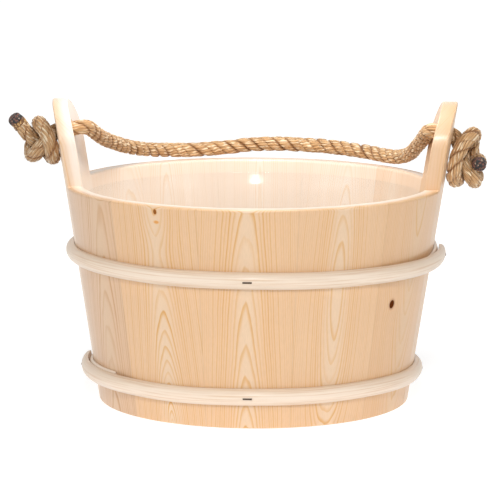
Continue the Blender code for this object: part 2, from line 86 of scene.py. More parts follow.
def linear(colour):
    """An sRGB hex colour as linear RGBA."""
    parts = [int(colour[i : i + 2], 16) / 255 for i in (1, 3, 5)]
    return (*[c / 12.92 if c <= 0.04045 else ((c + 0.055) / 1.055) ** 2.4 for c in parts], 1.0)


# Options of many nodes. A MapRange brings its value at 0 from the range 1 to 2 to the range 3 to 4. A Mix
# takes its share at 0 and its colours at 6 and 7, and gives the result at 2.
SMOOTH = {"interpolation_type": "SMOOTHSTEP"}
RGBA = {"data_type": "RGBA"}


def add_node(tree, kind, inputs, **options):
    """Adds one node with its options, and sets or links its inputs.

    A node given as an input means its first output.
    """
    node = tree.nodes.new("ShaderNode" + kind)
    for option, value in options.items():
        setattr(node, option, value)
    for key, value in inputs.items():
        if isinstance(value, bpy.types.Node):
            value = value.outputs[0]
        if isinstance(value, bpy.types.NodeSocket):
            tree.links.new(value, node.inputs[key])
        else:
            node.inputs[key].default_value = value
    return node


def empty_material(name):
    """A material with no nodes yet, and the function that adds them to it."""
    material = bpy.data.materials.new(name)
    material.use_nodes = True
    material.node_tree.nodes.clear()
    return material, partial(add_node, material.node_tree)


def stretched_noise(add, vector, size, detail, shift=(0, 0, 0)):
    """Noise whose features have this size along each axis of the vector."""
    scale = [1 / length for length in size]
    stretched = add("Mapping", {"Vector": vector, "Location": shift, "Scale": scale})
    return add("TexNoise", {"Vector": stretched, "Scale": 1.0, "Detail": detail})


def finish_piece(name, bm, material, body, replaced, sharp_deg=35):
    """Makes a piece of a bmesh, smooth but for its sharp edges, and gives it its place in the frame."""
    bmesh.ops.recalc_face_normals(bm, faces=bm.faces)
    if bm.calc_volume(signed=True) < 0:
        bmesh.ops.reverse_faces(bm, faces=bm.faces)
    mesh = bpy.data.meshes.new(name)
    bm.to_mesh(mesh)
    bm.free()
    mesh.shade_smooth()
    mesh.set_sharp_from_angle(angle=math.radians(sharp_deg))
    mesh.materials.append(material)
    piece = bpy.data.objects.new(name, mesh)
    scene.collection.objects.link(piece)
    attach(piece, body)
    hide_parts(*replaced)
    return piece


def lacquered_pine(name, stave):
    """Pale flat-sawn pine under clear lacquer: orange latewood lines that run up the stave and close in
    pointed arches where they lie flat to the face, a fine fibre, and a thin glossy coat."""
    material, add = empty_material(name)
    place = add("TexCoord", {}).outputs["Object"]
    board = add("Mapping", {"Vector": place, "Rotation": stave["turn"]})
    seed = (stave["seed"], 0, 0)

    # The board wanders by a few millimetres over some 50 mm across and 160 mm along.
    wander = stretched_noise(add, board, (0.050, 0.050, 0.160), 1.5, seed).outputs["Color"]
    wander = add("VectorMath", {0: wander, 1: (0.5, 0.5, 0.5)}, operation="SUBTRACT")
    wander = add("VectorMath", {0: wander, "Scale": stave["wander"]}, operation="SCALE")
    bent = add("VectorMath", {0: board, 1: wander}, operation="ADD")
    bent = add("SeparateXYZ", {0: bent})
    x, y, z = (bent.outputs[axis] for axis in "XYZ")

    # Distance to the pith, which lies behind the face and comes nearer or further along the stave.
    up = add("Math", {0: z, 1: stave["middle"]}, operation="SUBTRACT")
    bow = add("Math", {0: up, 1: stave["bow"], 2: stave["rise"]}, operation="MULTIPLY_ADD")
    pith = add("Math", {0: up, 1: bow, 2: stave["pith"]}, operation="MULTIPLY_ADD")
    face = add("Math", {0: z, 1: TAPER, 2: FOOT_RADIUS}, operation="MULTIPLY_ADD")
    depth = add("Math", {0: face, 1: y}, operation="ADD")
    deep = add("Math", {0: pith, 1: depth}, operation="SUBTRACT")
    lean = add("Math", {0: up, 1: -stave["lean"], 2: -stave["across"]}, operation="MULTIPLY_ADD")
    across = add("Math", {0: x, 1: lean}, operation="ADD")
    flat = add("CombineXYZ", {0: across, 1: deep})
    from_pith = add("VectorMath", {0: flat}, operation="LENGTH").outputs["Value"]
    rings = add("Math", {0: from_pith, 1: 1 / stave["ring"]}, operation="MULTIPLY")

    # The lines stand unevenly, over some 6 mm across and 90 mm along.
    tremble = stretched_noise(add, board, (0.006, 0.006, 0.090), 1.0, seed)
    rings = add("Math", {0: tremble, 1: 0.65, 2: rings}, operation="MULTIPLY_ADD")

    # Rings are pushed aside round each knot.
    plain = add("SeparateXYZ", {0: board})
    plain_x, plain_y, plain_z = (plain.outputs[axis] for axis in "XYZ")
    marks = []
    for knot in stave.get("knots", ()):
        side = add("Math", {0: plain_x, 1: knot["x"]}, operation="SUBTRACT")
        over = add("Math", {0: plain_z, 1: knot["z"]}, operation="SUBTRACT")
        over = add("Math", {0: over, 1: 1 / knot["tall"]}, operation="MULTIPLY")
        spot = add("CombineXYZ", {0: side, 1: over})
        reach = add("VectorMath", {0: spot}, operation="LENGTH").outputs["Value"]
        push = {0: reach, 1: 0.0, 2: knot["bend"], 3: knot["push"], 4: 0.0}
        push = add("MapRange", push, **SMOOTH)
        rings = add("Math", {0: rings, 1: push}, operation="ADD")
        marks.append((knot, reach))

    # Each ring darkens slowly to its late wood and then stops short. Some rings are stronger than others.
    counted = add("Math", {0: rings, 1: stave["seed"]}, operation="ADD")
    number = add("Math", {0: counted}, operation="FLOOR")
    chance = add("TexWhiteNoise", {"W": number}, noise_dimensions="1D")
    strength = add("MapRange", {0: chance, 1: 0.0, 2: 1.0, 3: 0.15, 4: 1.0})
    phase = add("Math", {0: counted}, operation="FRACT")
    swell = add("MapRange", {0: phase, 1: 0.38, 2: 0.84}, **SMOOTH)
    stop = add("MapRange", {0: phase, 1: 0.86, 2: 0.98, 3: 1.0, 4: 0.0}, **SMOOTH)

    # Where the rings lie nearly flat to the face, a line is still no more than a few millimetres wide.
    slope = add("Math", {0: up, 1: 2 * stave["bow"], 2: stave["rise"]}, operation="MULTIPLY_ADD")
    slope = add("Math", {0: slope, 1: deep}, operation="MULTIPLY")
    steep = add("CombineXYZ", {0: across, 1: slope})
    steep = add("VectorMath", {0: steep}, operation="LENGTH").outputs["Value"]
    steep = add("Math", {0: steep, 1: 0.0006}, operation="ADD")
    spread = add("Math", {0: from_pith, 1: steep}, operation="DIVIDE")
    behind = add("Math", {0: 0.95, 1: phase}, operation="SUBTRACT")
    for factor in (spread, stave["ring"]):
        behind = add("Math", {0: behind, 1: factor}, operation="MULTIPLY")
    width = add("MapRange", {0: behind, 1: 0.0, 2: 0.0045, 3: 1.0, 4: 0.12}, **SMOOTH)
    late = swell
    for factor in (stop, width, strength):
        late = add("Math", {0: late, 1: factor}, operation="MULTIPLY")

    # Fibre, 0.7 mm across and 25 mm long, drawn a little coarser than it is so that it shows, and broad
    # clouds of tone, 18 mm across and 120 mm long.
    fibre = stretched_noise(add, board, (0.0007, 0.0007, 0.025), 2.0, seed)
    cloud = stretched_noise(add, board, (0.018, 0.018, 0.120), 1.0, seed)

    # Lines are strong over the pith, where they lie flat to the face, and fine and faint to either side.
    off = add("Math", {0: across}, operation="ABSOLUTE")
    fade = add("MapRange", {0: off, 1: 0.008, 2: 0.028, 3: 1.15, 4: 0.85}, **SMOOTH)
    share = late
    for factor in (stave["contrast"], fade):
        share = add("Math", {0: share, 1: factor}, operation="MULTIPLY")
    heart = add("MapRange", {0: off, 1: 0.0, 2: 0.014, 3: 0.7, 4: 0.0}, **SMOOTH)
    toned = add("Math", {0: cloud, 1: 0.8, 2: 0.1}, operation="MULTIPLY_ADD")
    early = {0: toned, 6: linear(stave["plain"]), 7: linear(stave["warm"])}
    early = add("Mix", early, **RGBA).outputs[2]
    early = add("Mix", {0: heart, 6: early, 7: linear(stave["pale"])}, **RGBA).outputs[2]
    colour = add("Mix", {0: share, 6: early, 7: linear(stave["late"])}, **RGBA).outputs[2]
    streak = add("MapRange", {0: fibre, 1: 0.3, 2: 0.7, 3: 0.965, 4: 1.025})
    colour = add("VectorMath", {0: colour, "Scale": streak}, operation="SCALE")

    # A wood knot has a warm rim and a dark heart, which takes the lacquer badly.
    lacquer = 1.0
    for knot, reach in marks:
        size = knot["radius"]
        for edge, middle, tone in ((1.7, 0.7, knot["halo"]), (1.05, 0.85, knot["heart"])):
            mask = {0: reach, 1: edge * size, 2: middle * size}
            mask = add("MapRange", mask, **SMOOTH)
            colour = {0: mask, 6: colour, 7: linear(tone)}
            colour = add("Mix", colour, **RGBA).outputs[2]
        dull = add("Math", {0: 1.0, 1: mask}, operation="SUBTRACT")
        lacquer = add("Math", {0: dull, 1: lacquer}, operation="MULTIPLY")

    # The glue line at each long edge is a hair darker.
    half = math.radians(STAVE_DEG / 2)
    wide = add("Math", {0: plain_x}, operation="ABSOLUTE")
    inward = add("Math", {0: plain_y, 1: -math.tan(half)}, operation="MULTIPLY")
    edge = add("Math", {0: inward, 1: wide}, operation="SUBTRACT")
    line = add("MapRange", {0: edge, 1: 0.0001, 2: 0.0006, 3: 0.94, 4: 1.0}, **SMOOTH)
    colour = add("VectorMath", {0: colour, "Scale": line}, operation="SCALE")

    # Behind the turned and lacquered face the planed wood is unlacquered and paler: rim, inside and the
    # ears' edges. Its near-white tone is partly the planed wood's own and partly painted light, for the
    # strong light in the mouth and on the rim and ears.
    planed = add("VectorMath", {0: board, 1: (1, 1, 0)}, operation="MULTIPLY")
    planed = add("VectorMath", {0: planed}, operation="LENGTH").outputs["Value"]
    face_at = add("Math", {0: plain_z, 1: TAPER, 2: FOOT_RADIUS}, operation="MULTIPLY_ADD")
    planed = add("Math", {0: face_at, 1: planed}, operation="SUBTRACT")
    planed = {0: planed, 1: 0.0015, 2: 0.0085, 3: 0.0, 4: stave["pale_and_lit"]}
    planed = add("MapRange", planed, **SMOOTH)
    pale_and_lit = add("Mix", {0: share, 6: linear("#f9ecdf"), 7: linear("#f6e1c6")}, **RGBA).outputs[2]
    colour = add("Mix", {0: planed, 6: colour, 7: pale_and_lit}, **RGBA).outputs[2]

    height = add("Math", {0: fibre, 1: 0.5, 2: late}, operation="MULTIPLY_ADD")
    bump = add("Bump", {"Height": height, "Strength": 0.12, "Distance": 0.0002})
    coat = add("Math", {0: lacquer, 1: 0.4}, operation="MULTIPLY")
    shine = add("Math", {0: lacquer, 1: 0.5}, operation="MULTIPLY")
    gloss = {"Specular IOR Level": shine, "Coat Weight": coat, "Coat Roughness": 0.22}
    shader = {"Base Color": colour, "Roughness": 0.45, "IOR": 1.5, "Normal": bump, **gloss}
    shader = add("BsdfPrincipled", shader)
    add("OutputMaterial", {"Surface": shader})
    return material


def stave_profile():
    """Section of a plain stave as (radius, height), with rows up its faces and a round rim."""
    shoulder = HEIGHT - RIM_ROUND
    rows = np.linspace(FOOT_ROUND, shoulder, 9)
    profile = [(inner_radius(0), 0), *arc((FOOT_RADIUS - FOOT_ROUND, FOOT_ROUND), FOOT_ROUND, -90, -10, 3)]
    profile += [(outer_radius(z), z) for z in rows[1:-1]]
    profile += arc((outer_radius(shoulder) - RIM_ROUND, shoulder), RIM_ROUND, 0, 90, 5)
    profile += arc((inner_radius(shoulder) + RIM_ROUND, shoulder), RIM_ROUND, 90, 180, 5)
    return profile + [(inner_radius(z), z) for z in rows[-2:0:-1]]


def turned_stave(profile, at_deg):
    """The section turned through one stave's share of the tub."""
    sweep = math.radians(STAVE_DEG) - GLUE_LINE / FOOT_RADIUS
    start = math.radians(at_deg - 90) - sweep / 2
    bm = bmesh.new()
    ring = [bm.verts.new((r * math.cos(start), r * math.sin(start), z)) for r, z in profile]
    near = bm.faces.new(ring)
    far = near.copy()
    bmesh.ops.rotate(bm, verts=far.verts, cent=(0, 0, 0), matrix=Matrix.Rotation(sweep, 3, "Z"))
    bmesh.ops.spin(bm, geom=near.edges[:], cent=(0, 0, 0), axis=(0, 0, 1), angle=sweep, steps=10)
    bmesh.ops.remove_doubles(bm, verts=bm.verts, dist=TOUCHING)
    return bm


def ear_stave(side):
    """A taller stave, sawn to the ear's outline, bored for the rope and eased along its edges."""
    half = EAR_WIDTH / 2
    share = (math.radians(STAVE_DEG) - GLUE_LINE / FOOT_RADIUS) / 2
    head = [(math.asin(y / outer_radius(z)), z) for y, z in arc((0, EAR_TOP - half), half, 0, 90, 14)]
    mouth = arc((0, HOLE_HEIGHT), HOLE_DIAMETER / 2, 90, -90, 18)
    mouth = [(math.asin(y / outer_radius(z)), z) for y, z in mouth]
    shoulder = (math.asin(half / RIM_RADIUS), HEIGHT)

    # Half of the outline as (angle, height), in upright strips that end at these points of the head.
    first, second, last = 5, 8, 11
    strips = [[(head[first][0], 0), (share, 0), (share, HEIGHT), shoulder, *head[: first + 1]]]
    for low, high in ((first, second), (second, last)):
        strips.append([(head[high][0], 0), (head[low][0], 0), *head[low : high + 1]])
    strips.append([(0, 0), (head[last][0], 0), *head[last:], *mouth])
    bm = bmesh.new()
    for flip in (1, -1):
        for strip in strips:
            bm.faces.new([bm.verts.new((flip * a, 0, z)) for a, z in strip])
    bmesh.ops.remove_doubles(bm, verts=bm.verts, dist=TOUCHING)
    bmesh.ops.recalc_face_normals(bm, faces=bm.faces)

    # The outline is given its thickness, y being 0 outside and 1 inside, and is then bent to the tub's round.
    grown = bmesh.ops.extrude_face_region(bm, geom=bm.faces[:])["geom"]
    for vert in grown:
        if isinstance(vert, bmesh.types.BMVert):
            vert.co.y = 1.0
    for vert in bm.verts:
        angle, inside, z = vert.co
        radius = inner_radius(z) if inside else outer_radius(z)
        if inside and z > HEIGHT - TOUCHING and abs(angle) < share - TOUCHING:
            angle = math.asin(outer_radius(z) * math.sin(angle) / radius)
        vert.co = (side * radius * math.cos(angle), side * radius * math.sin(angle), z)
    bmesh.ops.recalc_face_normals(bm, faces=bm.faces)
    if bm.calc_volume(signed=True) < 0:
        bmesh.ops.reverse_faces(bm, faces=bm.faces)

    # The edges above the rim, round the hole and under the foot outside are eased.
    sharp = []
    for edge in bm.edges:
        low = min(v.co.z for v in edge.verts)
        high = max(v.co.z for v in edge.verts)
        middle = (edge.verts[0].co + edge.verts[1].co) / 2
        foot = high < TOUCHING and math.hypot(middle.x, middle.y) > FOOT_RADIUS - STAVE_THICKNESS / 2
        above = low > HEIGHT - TOUCHING
        if (foot or above) and edge.is_convex and edge.calc_face_angle() > math.radians(EASED_DEG):
            sharp.append(edge)
    bmesh.ops.bevel(bm, geom=sharp, offset=EAR_ROUND, segments=3, affect="EDGES", profile=0.5, material=-1)
    return bm


# Each stave is a different board. Its pith lies "pith" behind the face and "across" to the right at the
# height "middle". "rise" and "bow" change that depth up the stave, and "lean" shifts it sideways. "ring" is a
# year's growth, and "pale_and_lit" says how pale the planed wood is, partly its own tone and partly painted
# light. Lengths are metres.
BOARD = dict(
    pith=0.016, across=0.0, lean=0.0, rise=0.06, bow=0.0, middle=0.08, ring=0.00135, wander=0.003,
    contrast=1.0, pale_and_lit=0.7, plain="#e1bc95", warm="#deb489", pale="#e2c6a6", late="#d39a4c",
)
# They stand in this order, from the front towards the right. A wood knot is "tall" times as high as wide, and
# pushes the lines aside by "push" rings, as far out as "bend".
STAVES = {
    "stave_front": dict(rise=0.055, across=-0.001, pith=0.0135, contrast=0.9),
    "stave_front_right": dict(rise=0.0, bow=0.8, middle=0.105, across=-0.0025, pith=0.008, contrast=0.75),
    "stave_right_front": dict(
        across=0.004, pith=0.02, rise=-0.06, contrast=0.7, plain="#dfb890", warm="#daaf83", pale="#dcb88f",
        knots=[
            dict(
                x=-0.0165, z=0.0845, radius=0.0027, tall=1.2, bend=0.014, push=1.6, halo="#b67a48",
                heart="#5a2a10",
            ),
        ],
    ),
    "ear_stave_right": dict(pith=0.03, rise=0.03, contrast=0.5, pale_and_lit=0.1),
    "stave_right_back": dict(across=0.012, pale_and_lit=0.45),
    "stave_back_right": dict(rise=0.08, across=-0.006),
    "stave_back": dict(rise=-0.05, bow=0.5),
    "stave_back_left": dict(rise=0.05, across=0.01),
    "stave_left_back": dict(across=-0.015, pith=0.03),
    "ear_stave_left": dict(
        pith=0.03, rise=-0.03, contrast=0.5, pale_and_lit=0.8, plain="#e6c8aa", warm="#e3c2a0", pale="#e6ccb2",
    ),
    "stave_left_front": dict(
        across=0.01, lean=0.1, pith=0.022, contrast=1.0, late="#c18c58", plain="#d9b693", warm="#d5ad86",
        pale="#d8b793",
    ),
    "stave_front_left": dict(
        rise=0.085, bow=-0.75, across=0.003, pith=0.013,
        knots=[
            dict(
                x=0.0045, z=0.1568, radius=0.0014, tall=1.4, bend=0.024, push=-1.6, halo="#dba267",
                heart="#935a2b",
            ),
            dict(
                x=0.005, z=0.1493, radius=0.0019, tall=0.55, bend=0.01, push=0.0, halo="#e2ad70",
                heart="#da9e5e",
            ),
        ],
    ),
}
for count, (name, traits) in enumerate(STAVES.items()):
    at_deg = count * STAVE_DEG
    board = {**BOARD, **traits, "turn": (0, 0, -math.radians(at_deg)), "seed": 3.7 * count}
    pine = lacquered_pine(f"lacquered_pine_{name}", board)
    if name.startswith("ear_stave"):
        shape = ear_stave(1 if name.endswith("right") else -1)
    else:
        shape = turned_stave(stave_profile(), at_deg)
    piece = finish_piece(name + "_board", shape, pine, "bucket", [name])
    piece.modifiers.new("even_shading", "WEIGHTED_NORMAL").keep_sharp = True


# Bottom. Three planed pine boards, glued edge to edge and held in a groove round the staves. Their grain runs
# from side to side, so the pattern's across, depth and along are the bucket's y, z and x.
LENGTHWISE = tuple(Matrix(((0, 1, 0), (0, 0, 1), (1, 0, 0))).to_euler())
for number in (1, 2, 3):
    low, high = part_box(f"bottom_board_{number}")
    board = {**BOARD, "turn": LENGTHWISE, "seed": 51.0 + 7.3 * number, "middle": 0.06 - 0.03 * number}
    board["pith"] = FOOT_RADIUS + BOTTOM_TOP - 0.012 - 0.002 * number  # 14 to 18 mm below the top
    board["rise"] = TAPER + 0.05 * (-1) ** number
    board["across"] = (low[1] + high[1]) / 2 + 0.006 * (number - 2)
    bare_pine = lacquered_pine(f"planed_pine_bottom_{number}", board)
    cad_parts[f"bottom_board_{number}"].data.materials[0] = bare_pine


# Hoops. Each is one peeled, split rod, half round, bent round the tub with its thinned end under the other.
# Its fibre runs round with it, so the surface is streaked along its length.
HOOP_WIDTH = 0.0125
HOOP_PROUD = 0.0068
HOOP_TIP_WIDTH = 0.0035
HOOP_TIP_PROUD = 0.0012
HOOP_LAPPED_PROUD = 0.0042
HOOP_OUTER_END_PROUD = 0.0056
HOOP_LAP_DEG = 44.0
HOOP_RISE_DEG = 14.0
HOOP_FULLNESS = 0.9  # 1 is a plain half round
HOOP_STEPS = 200
HOOP_SECTION_STEPS = 16
CAD_GAP = 0.0003


def smooth_step(x):
    """0 below 0, 1 above 1, and a soft rise between."""
    x = min(max(x, 0.0), 1.0)
    return x * x * (3 - 2 * x)


def peeled_rod(name):
    """Peeled, split and shaved softwood rod: cream, satin, with long darker fibre streaks along it."""
    material, add = empty_material(name)
    along = add("UVMap", {}, uv_map="rod")
    streak = stretched_noise(add, along, (0.060, 0.0011, 1), 3.0)
    broad = stretched_noise(add, along, (0.090, 0.006, 1), 1.0)
    dark = add("MapRange", {0: streak, 1: 0.48, 2: 0.72}, **SMOOTH)
    tone = add("Mix", {0: broad, 6: linear("#efdfcc"), 7: linear("#e7cfb5")}, **RGBA).outputs[2]
    share = add("Math", {0: dark, 1: 0.5}, operation="MULTIPLY")
    tone = add("Mix", {0: share, 6: tone, 7: linear("#cfa273")}, **RGBA).outputs[2]
    bump = add("Bump", {"Height": streak, "Strength": 0.25, "Distance": 0.0004})
    satin = {"Roughness": 0.48, "IOR": 1.5, "Coat Weight": 0.25, "Coat Roughness": 0.2}
    shader = add("BsdfPrincipled", {"Base Color": tone, "Normal": bump, **satin})
    add("OutputMaterial", {"Surface": shader})
    return material


def bent_hoop(height, tip_deg, way, tip_lift, lap_lift, lean, wave):
    """The rod's half-round section carried once round the tub and on over its own thinned end.

    It starts with the thin tip, tip_deg from the front, and goes to the right, or to the left if way is -1.
    The lifts raise the tip and the rod behind the lap. Lean and wave keep the rod from lying quite level.
    """
    end = 360.0 + HOOP_LAP_DEG

    def thickness(along):
        under = HOOP_TIP_PROUD + (HOOP_LAPPED_PROUD - HOOP_TIP_PROUD) * min(along / HOOP_LAP_DEG, 1.0)
        full = smooth_step((along - HOOP_LAP_DEG) / HOOP_RISE_DEG)
        over = smooth_step((along - 360.0) / HOOP_LAP_DEG)
        return under + (HOOP_PROUD - HOOP_LAPPED_PROUD) * full - (HOOP_PROUD - HOOP_OUTER_END_PROUD) * over

    bm = bmesh.new()
    uv = bm.loops.layers.uv.new("rod")
    rings = []
    places = {}
    for step in range(HOOP_STEPS + 1):
        along = end * step / HOOP_STEPS
        around = math.radians(tip_deg + way * along)
        rise = smooth_step((along - 360.0 + HOOP_RISE_DEG) / HOOP_RISE_DEG)
        gap = CAD_GAP + rise * (thickness(max(along - 360.0, 0.0)) + CAD_GAP)
        width = HOOP_TIP_WIDTH + (HOOP_WIDTH - HOOP_TIP_WIDTH) * smooth_step(along / HOOP_LAP_DEG)
        lift = tip_lift * (1 - smooth_step(along / HOOP_LAP_DEG))
        behind = smooth_step((along - HOOP_LAP_DEG / 2) / HOOP_LAP_DEG)
        lift += lap_lift * behind * (1 - smooth_step((along - 1.5 * HOOP_LAP_DEG) / (1.5 * HOOP_LAP_DEG)))
        middle = height + lift + lean[0] * math.sin(around) + lean[1] * math.cos(around)
        middle += wave * math.sin(3.1 * around + 0.6) + 0.6 * wave * math.sin(7.3 * math.radians(along))
        proud = thickness(along) * (1 + 0.03 * math.sin(5.2 * math.radians(along) + 1.0))
        ring = []
        for turn in range(HOOP_SECTION_STEPS + 1):
            phase = -math.pi / 2 + math.pi * turn / HOOP_SECTION_STEPS
            z = middle + width / 2 * math.sin(phase)
            r = outer_radius(z) + gap + proud * max(math.cos(phase), 0.0) ** HOOP_FULLNESS
            vert = bm.verts.new((r * math.sin(around), -r * math.cos(around), z))
            places[vert] = (math.radians(along) * FOOT_RADIUS, phase * width / 2)
            ring.append(vert)
        rings.append(ring)
    for near, far in zip(rings, rings[1:]):
        for corner in range(len(near)):
            after = (corner + 1) % len(near)
            bm.faces.new((near[corner], near[after], far[after], far[corner]))
    bm.faces.new(rings[0])
    bm.faces.new(rings[-1])
    for face in bm.faces:
        for loop in face.loops:
            loop[uv].uv = places[loop.vert]
    return bm


rod = peeled_rod("peeled_split_rod")
upper = bent_hoop(
    height=0.1096, tip_deg=50.0, way=1, tip_lift=0.0, lap_lift=0.0030, lean=(-0.0012, 0.0), wave=0.0002
)
finish_piece("upper_hoop_rod", upper, rod, "bucket", ["upper_hoop"])
lower = bent_hoop(
    height=0.0230, tip_deg=-54.0, way=-1, tip_lift=0.0062, lap_lift=0.0, lean=(0.0, 0.0008), wave=0.0003
)
finish_piece("lower_hoop_rod", lower, rod, "bucket", ["lower_hoop"])


# Staples. Short wire staples driven through each rod into the stave behind it, so that only the crowns show.
# The wire has darkened to a dull brown black with specks of rust.
staple_steel, add = empty_material("darkened_staple_wire")
place = add("TexCoord", {}).outputs["Object"]
grit = add("TexNoise", {"Vector": place, "Scale": 1 / 0.0012, "Detail": 2.0})
rust = add("Mix", {0: grit, 6: linear("#33271f"), 7: linear("#66523f")}, **RGBA).outputs[2]
shader = add("BsdfPrincipled", {"Base Color": rust, "Metallic": 0.4, "Roughness": 0.5})
add("OutputMaterial", {"Surface": shader})
for hoop in ("upper_hoop", "lower_hoop"):
    for where in ("front", "right", "back", "left"):
        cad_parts[f"{hoop}_staple_{where}"].data.materials[0] = staple_steel


# Liner. A clear plastic cup, moulded with a collar that steps out to the staves just below the rim. It stands
# loose on the bottom.
LINER_WALL = 0.0015
LINER_TOP = 0.151
LINER_COLLAR = 0.010
LINER_STEP = 0.0014
LINER_CORNER = 0.009
LINER_EDGE = 0.001  # from the step to the next row of points, which keeps its edges crisp
LINER_FLARE = 1.15  # 1 is a straight flare inside the collar


def clear_plastic(name):
    """Moulded clear plastic: the wood shows through it, with a faint milky veil and a sharp gloss."""
    material, add = empty_material(name)
    through = add("BsdfTransparent", {"Color": linear("#ffffff")})
    veil = add("BsdfDiffuse", {"Color": linear("#fffaf4")})
    clear = add("MixShader", {0: 0.015, 1: through, 2: veil})
    mirror = add("BsdfGlossy", {"Color": linear("#ffffff"), "Roughness": 0.14})
    facing = add("LayerWeight", {"Blend": 0.5}).outputs["Facing"]
    edge = add("Math", {0: facing, 1: 5.0}, operation="POWER")
    share = add("Math", {0: edge, 1: 0.35, 2: 0.009}, operation="MULTIPLY_ADD")
    mixed = add("MixShader", {0: share, 1: clear, 2: mirror})
    add("OutputMaterial", {"Surface": mixed})
    return material


def turned_shell(profile, steps):
    """A section from axis to axis, as (radius, height), turned all the way round."""
    bm = bmesh.new()
    verts = [bm.verts.new((r, 0, z)) for r, z in profile]
    edges = [bm.edges.new(pair) for pair in zip(verts, verts[1:])]
    bmesh.ops.spin(
        bm, geom=verts + edges, cent=(0, 0, 0), axis=(0, 0, 1), angle=math.tau, steps=steps, use_merge=True
    )
    bmesh.ops.remove_doubles(bm, verts=bm.verts, dist=TOUCHING)
    return bm


def moulded_cup():
    """The cup's wall: a round foot, a collar stepped outside and flared inside, and a round lip."""
    floor = BOTTOM_TOP + CAD_GAP
    collar = LINER_TOP - LINER_COLLAR
    slope = math.degrees(math.atan(TAPER))

    def cup_radius(z):
        return inner_radius(z) - CAD_GAP - LINER_STEP

    def foot(radius):
        z = floor + LINER_CORNER
        return arc((cup_radius(z) - LINER_CORNER, z), radius, -90, -slope, 8)

    lip = LINER_WALL / 2
    low = collar + LINER_STEP
    outside = [(0, floor), *foot(LINER_CORNER), (cup_radius(collar - LINER_EDGE), collar - LINER_EDGE)]
    outside += [(cup_radius(collar), collar), (inner_radius(low) - CAD_GAP, low)]
    outside += [(inner_radius(low + LINER_EDGE) - CAD_GAP, low + LINER_EDGE)]
    outside += arc((inner_radius(LINER_TOP - lip) - CAD_GAP - lip, LINER_TOP - lip), lip, 0, 180, 8)
    inside = []
    for share in np.linspace(1, 0, 7):
        z = collar + share * (LINER_COLLAR - 2 * lip)
        inside.append((cup_radius(z) - LINER_WALL + share**LINER_FLARE * LINER_STEP, z))
    inside += [(cup_radius(collar - LINER_WALL) - LINER_WALL, collar - LINER_WALL)]
    inside += [*reversed(foot(LINER_CORNER - LINER_WALL)), (0, floor + LINER_WALL)]
    return turned_shell(outside + inside, 128)


cup_plastic = clear_plastic("clear_moulded_plastic")
finish_piece("moulded_liner", moulded_cup(), cup_plastic, "liner", ["liner"], sharp_deg=60)


# Rope. Three-strand natural fibre, laid right-handed. It goes through both ears, with an overhand knot drawn
# up outside each, and its two ends are sealed dark. Its free span lies back on the rim.
ROPE_DIAMETER = 0.0105
ROPE_RADIUS = ROPE_DIAMETER / 2
ROPE_LAY = 0.0285
YARN_LAY = 0.0170
YARNS = 9
YARN_SIDES = 4
FIBRE_RADIUS = 0.0001
HOLE_MIDDLE = outer_radius(HOLE_HEIGHT) - STAVE_THICKNESS / 2
KNOT_POINTS = 70
KNOT_ROUNDS = 200
KNOT_EXIT_ROUNDS = 12
KNOT_STRAND_GAP = 0.0009
KNOT_HELD = 5  # points in the ear's hole, held while the rest is drawn together
KNOT_EASE = 0.10  # share of a bend that the first round straightens, and later rounds less
KNOT_EXIT_EASE = 0.25
KNOT_PUSH = 0.12  # share of an overlap that each round clears
KNOT_OWN_LENGTH = 1.9  # rope widths along the rope within which it isn't pushed off itself

# The rope's line, from the left ear to the right one, and each knot's, from its ear to its tip. Each point is
# x, y and its height over the holes. A knot's x counts outwards from the axis.
SPAN_ROUTE = [
    (-0.1344, 0, 0), (-0.1294, 0.0008, 0.0006), (-0.1252, 0.0045, 0.0004), (-0.122, 0.012, -0.0022),
    (-0.1194, 0.023, -0.0066), (-0.1155, 0.038, -0.012), (-0.1083, 0.0613, -0.0185),
    (-0.0988, 0.0866, -0.025), (-0.085, 0.1092, -0.0297), (-0.0665, 0.125, -0.0321),
    (-0.0475, 0.1336, -0.0326), (-0.028, 0.1392, -0.0315), (-0.0087, 0.1428, -0.0296),
    (0.0148, 0.1436, -0.0287), (0.0345, 0.1413, -0.0292), (0.0542, 0.135, -0.0297),
    (0.0698, 0.1265, -0.0305), (0.0854, 0.114, -0.0313), (0.0972, 0.1004, -0.0317),
    (0.1068, 0.086, -0.0306), (0.1152, 0.066, -0.0254), (0.1209, 0.0442, -0.0163),
    (0.1246, 0.0262, -0.009), (0.1268, 0.0125, -0.0036), (0.129, 0.004, -0.0004), (0.1315, 0.0007, 0.0004),
    (0.1348, 0, 0),
]
LEFT_KNOT = [
    (0.15, 0.0012, -0.003), (0.1535, -0.0015, -0.0095), (0.1575, -0.0065, -0.0145),
    (0.161, -0.009, -0.018), (0.1632, -0.004, -0.0215), (0.1635, 0.004, -0.0205), (0.1625, 0.01, -0.0145),
    (0.16, 0.0115, -0.0065), (0.157, 0.007, -0.0005), (0.1535, -0.002, 0.0015), (0.1515, -0.0105, -0.005),
    (0.15, -0.0125, -0.014), (0.149, -0.01, -0.0225), (0.148, -0.003, -0.0285), (0.1485, 0.0045, -0.0275),
    (0.152, 0.006, -0.021), (0.157, 0.0035, -0.0145), (0.162, 0.0005, -0.0095), (0.167, -0.0015, -0.0045),
    (0.1708, -0.0025, -0.0005), (0.1736, -0.003, 0.003),
]
RIGHT_KNOT = [
    (0.1498, 0.0012, -0.004), (0.153, -0.002, -0.013), (0.1565, -0.007, -0.0275),
    (0.1605, -0.009, -0.0425), (0.1635, -0.004, -0.0515), (0.164, 0.004, -0.049), (0.162, 0.01, -0.034),
    (0.158, 0.0115, -0.016), (0.1545, 0.007, -0.004), (0.1525, -0.002, -0.0005), (0.1512, -0.011, -0.007),
    (0.1488, -0.013, -0.018), (0.1478, -0.0125, -0.033), (0.15, -0.006, -0.049), (0.1535, 0.0035, -0.049),
    (0.154, 0.0065, -0.036), (0.1555, 0.0045, -0.023), (0.1592, -0.0005, -0.0165),
    (0.1635, -0.0075, -0.0175), (0.165, -0.015, -0.021),
]


